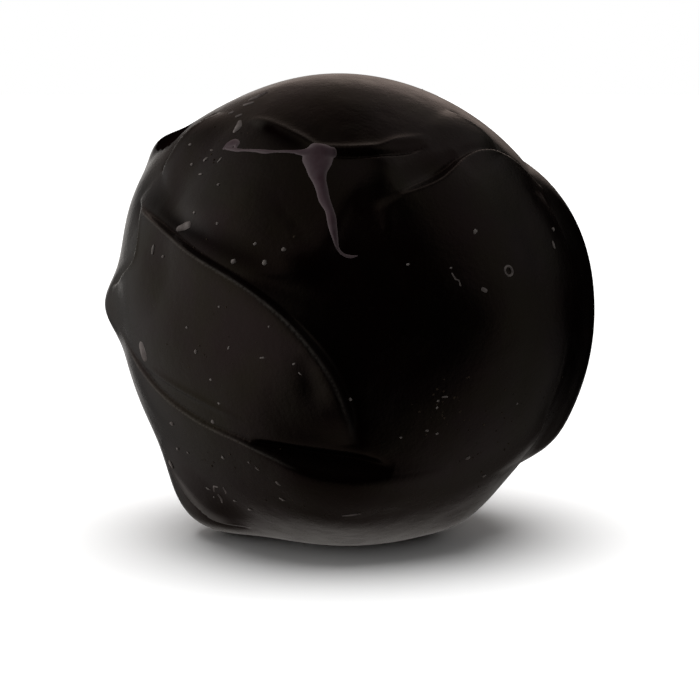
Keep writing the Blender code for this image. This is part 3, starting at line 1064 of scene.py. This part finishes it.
class TRUFFLE_OT_coating(TruffleOperator, bpy.types.Operator):
    """Makes the chocolate coating with its folds, finer near each fold, and flat at its foot"""

    bl_idname = "truffle.coating"
    bl_label = "Coating"

    def execute(self, context):
        sizes = context.scene.truffle_sizes
        bm = bmesh.new()
        bmesh.ops.create_icosphere(bm, subdivisions=sizes.ball_level, radius=1)
        for reach in (sizes.fine_reach, sizes.finest_reach):
            bmesh.ops.subdivide_edges(bm, edges=near_folds(bm, reach / MM), cuts=1)
        units = np.array([vertex.co.normalized() for vertex in bm.verts])
        for vertex, place in zip(bm.verts, skin(units)):
            vertex.co = place
        geometry = [*bm.verts, *bm.edges, *bm.faces]
        cut = bmesh.ops.bisect_plane(
            bm, geom=geometry, dist=1e-7, plane_co=(0, 0, 0), plane_no=(0, 0, -1), clear_outer=True
        )
        rim = [item for item in cut["geom_cut"] if isinstance(item, bmesh.types.BMEdge)]
        bmesh.ops.edgeloop_fill(bm, edges=rim)
        bmesh.ops.triangulate(bm, faces=[face for face in bm.faces if len(face.verts) > 4])
        ways = np.array([vertex.co for vertex in bm.verts]) / MM - CENTRE
        ways /= np.linalg.norm(ways, axis=1, keepdims=True)
        # Painted highlight along the fold crests and on the heel, and painted shade along the hollows.
        marks = {
            HIGHLIGHT_EDGE: painted_crest_highlights(ways),
            HEEL_HIGHLIGHT: band_strength(ways, HEEL_HIGHLIGHT_BANDS),
            PAINTED_SHADE: band_strength(ways, PAINTED_SHADE_BANDS),
        }
        for name, amounts in marks.items():
            layer = bm.verts.layers.float.new(name)
            for vertex, amount in zip(bm.verts, amounts):
                vertex[layer] = amount
        piece = new_piece("coating", bm, dark_chocolate(context.scene.truffle_colours))
        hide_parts(NODE)
        return {"FINISHED"}


class TRUFFLE_OT_painted_reflection(TruffleOperator, bpy.types.Operator):
    """Makes the mauve painted reflection: a thin raised trail that ends in a drip down the front"""

    bl_idname = "truffle.drizzle"
    bl_label = "Reflection"

    def execute(self, context):
        bm = bmesh.new()
        add_strokes(bm, PAINTED_REFLECTION, context.scene.truffle_sizes.net_pitch / MM)
        new_piece("mauve_painted_reflection", bm, mauve_painted_reflection(context.scene.truffle_colours))
        return {"FINISHED"}


class TRUFFLE_OT_painted_glints(TruffleOperator, bpy.types.Operator):
    """Makes the pale glints, painted on as small raised dots and dashes"""

    bl_idname = "truffle.drops"
    bl_label = "Glints"

    def execute(self, context):
        bm = bmesh.new()
        for points in PAINTED_GLINTS.values():
            add_strokes(bm, [points], context.scene.truffle_sizes.net_pitch / MM / 2)
        colours = context.scene.truffle_colours
        material = pale_fleck("pale_painted_glints", colours.splash, colours.glint_and_rim_pale)
        new_piece("painted_glints", bm, material)
        return {"FINISHED"}


class TRUFFLE_OT_bubbles(TruffleOperator, bpy.types.Operator):
    """Makes the pale rims that burst bubbles left round their pits"""

    bl_idname = "truffle.bubbles"
    bl_label = "Burst bubbles"

    def execute(self, context):
        sizes = context.scene.truffle_sizes
        bm = bmesh.new()
        for lon, lat, size in BUBBLES:
            reach = math.degrees(size / MEAN_RADIUS)
            turns = np.linspace(0, 2 * math.pi, 13)
            east = lon + reach * np.cos(turns) / math.cos(math.radians(lat))
            north = lat + reach * np.sin(turns)
            rim = [(a, b, sizes.bubble_rim / MM, 0.05) for a, b in zip(east, north)]
            add_strokes(bm, [rim], sizes.net_pitch / MM / 2)
        colours = context.scene.truffle_colours
        material = pale_fleck("cocoa_butter_film_dried", colours.splash, colours.glint_and_rim_pale)
        new_piece("burst_bubbles", bm, material)
        return {"FINISHED"}


class TRUFFLE_OT_crumbs(TruffleOperator, bpy.types.Operator):
    """Makes the crumbs, which also stand in for painted glints, and the finer dust, that stuck to the coating"""

    bl_idname = "truffle.crumbs"
    bl_label = "Crumbs and dust"

    def execute(self, context):
        rng = np.random.default_rng(SEED)
        colours = context.scene.truffle_colours
        sugar = pale_fleck("broken_sugar_and_painted_glints", colours.crumb, colours.crumb_and_glint_pale)
        add_crumbs("sugar_crumbs_and_glints", CRUMBS_AND_GLINTS, rng, sugar)
        add_crumbs("cocoa_dust", list(scatter(rng)), rng, cocoa_dust(colours))
        return {"FINISHED"}


# The camera's lens and place, from the object's own box.
LENS = 100.0
SENSOR = 36.0
CAMERA_ELEVATION = 8.0
FILLED = 0.6987  # share of the picture's width that the truffle fills
RAISED = 0.062  # how far above the picture's middle its middle sits, as a share of the width


# The soft lights round the truffle: (direction, how many degrees away it fades out, strength).
# Those over and behind it are warmer.
SKY = (
    ((-1, 0, 0), 72, 0.4),
    ((-0.45, -0.25, 0.85), 45, 0.1),
    ((0.8, -0.1, 0.55), 48, 0.15),
    ((0.8, -0.1, -0.55), 48, 0.15),
    ((0.45, 0.45, 0.75), 30, 0.1),
    ((-0.25, 0.97, 0), 20, 0.8),
    ((0, 0.85, -0.5), 30, 0.25),
)
SKY_TINT = (1.0, 0.97, 0.94, 1)
WARM_SKY = (
    ((-0.1, 0.8, 0.6), 42, 0.17),
    ((0.1, 0.93, 0.35), 22, 0.5),
    ((0, 0.35, -0.93), 60, 0.08),
)
WARM_TINT = (1.0, 0.82, 0.73, 1)


def soft_lights(tree, way, lights, tint):
    """A background with a group of soft lights of one tint."""
    strength = 0.0
    for axis, reach, power in lights:
        towards = add_node(
            tree,
            "ShaderNodeVectorMath",
            {0: way, 1: Vector(axis).normalized()},
            operation="DOT_PRODUCT",
        ).outputs["Value"]
        lobe = add_node(
            tree,
            "ShaderNodeMapRange",
            {"Value": towards, "From Min": math.cos(math.radians(reach)), "To Max": power},
            interpolation_type="SMOOTHSTEP",
        )
        strength = add_node(tree, "ShaderNodeMath", {0: lobe, 1: strength}, operation="ADD")
    return add_node(tree, "ShaderNodeBackground", {"Color": tint, "Strength": strength})


def studio_world(scene):
    """A white room for the camera, with a ring of soft lights for the truffle to reflect."""
    world = bpy.data.worlds.new("studio")
    scene.world = world
    world.use_nodes = True
    tree = world.node_tree
    way = add_node(tree, "ShaderNodeTexCoord").outputs["Generated"]
    neutral = soft_lights(tree, way, SKY, SKY_TINT)
    warm = soft_lights(tree, way, WARM_SKY, WARM_TINT)
    glow = add_node(tree, "ShaderNodeAddShader", {0: neutral, 1: warm})
    white = add_node(tree, "ShaderNodeBackground", {"Color": (1, 1, 1, 1), "Strength": 1.0})
    seen = add_node(tree, "ShaderNodeLightPath").outputs["Is Camera Ray"]
    both = add_node(tree, "ShaderNodeMixShader", {0: seen, 1: glow, 2: white})
    tree.links.new(both.outputs[0], tree.nodes["World Output"].inputs["Surface"])


def add_sun(scene, name, energy, spread, towards, only=None):
    """A soft sun. With only, it lights that one collection."""
    data = bpy.data.lights.new(name, "SUN")
    data.energy = energy
    data.angle = math.radians(spread)
    light = bpy.data.objects.new(name, data)
    light.rotation_mode = "QUATERNION"
    light.rotation_quaternion = Vector(towards).to_track_quat("-Z", "Y")
    scene.collection.objects.link(light)
    if only:
        light.light_linking.receiver_collection = only
    return light


class TRUFFLE_OT_stage(TruffleOperator, bpy.types.Operator):
    """Sets the white table, the soft studio light and the camera"""

    bl_idname = "truffle.stage"
    bl_label = "Stage"

    def execute(self, context):
        scene = context.scene
        scene.view_settings.view_transform = "Standard"
        studio_world(scene)
        bm = bmesh.new()
        bmesh.ops.create_grid(bm, x_segments=1, y_segments=1, size=3.0)
        mesh = bpy.data.meshes.new("table_top")
        bm.to_mesh(mesh)
        bm.free()
        mesh.materials.append(white_table(scene.truffle_colours))
        table = bpy.data.objects.new("table_top", mesh)
        table_only = bpy.data.collections.new("table")
        scene.collection.children.link(table_only)
        table_only.objects.link(table)
        table.visible_diffuse = False
        table.visible_glossy = False
        add_sun(scene, "lamp_over_table", 3.55, 66, (0, 0, -1), table_only)
        add_sun(scene, "room_over_table", 0.85, 150, (0, 0, -1), table_only)

        size = HIGH - LOW
        tilt = math.radians(CAMERA_ELEVATION)
        back = Vector((0, -math.cos(tilt), math.sin(tilt)))
        up = Vector((0, math.sin(tilt), math.cos(tilt)))
        width = size[0] / FILLED
        aim = Vector((0, 0, size[2] / 2)) - up * width * RAISED
        data = bpy.data.cameras.new("camera")
        data.lens = LENS
        data.sensor_width = SENSOR
        data.clip_start = MM
        camera = bpy.data.objects.new("camera", data)
        camera.location = aim + back * width * LENS / SENSOR
        camera.rotation_euler = (-back).to_track_quat("-Z", "Y").to_euler()
        scene.collection.objects.link(camera)
        scene.camera = camera
        return {"FINISHED"}


STEPS = (
    TRUFFLE_OT_coating,
    TRUFFLE_OT_painted_reflection,
    TRUFFLE_OT_painted_glints,
    TRUFFLE_OT_bubbles,
    TRUFFLE_OT_crumbs,
    TRUFFLE_OT_stage,
)


class TRUFFLE_PT_panel(bpy.types.Panel):
    """Lists the steps that make the truffle, with its sizes and colours"""

    bl_label = "Truffle"
    bl_space_type = "VIEW_3D"
    bl_region_type = "UI"
    bl_category = "Truffle"

    def draw(self, context):
        for step in STEPS:
            self.layout.operator(step.bl_idname)
        for group in (context.scene.truffle_sizes, context.scene.truffle_colours):
            for name in group.__annotations__:
                self.layout.prop(group, name)


CLASSES = (TruffleSizes, TruffleColours, *STEPS, TRUFFLE_PT_panel)


def register():
    for item in CLASSES:
        bpy.utils.register_class(item)
    bpy.types.Scene.truffle_sizes = bpy.props.PointerProperty(type=TruffleSizes)
    bpy.types.Scene.truffle_colours = bpy.props.PointerProperty(type=TruffleColours)


def unregister():
    del bpy.types.Scene.truffle_colours
    del bpy.types.Scene.truffle_sizes
    for item in reversed(CLASSES):
        bpy.utils.unregister_class(item)


def main():
    """Makes every piece in turn."""
    register()
    bpy.ops.truffle.coating()
    bpy.ops.truffle.drizzle()
    bpy.ops.truffle.drops()
    bpy.ops.truffle.bubbles()
    bpy.ops.truffle.crumbs()
    bpy.ops.truffle.stage()


if __name__ == "__main__":
    main()
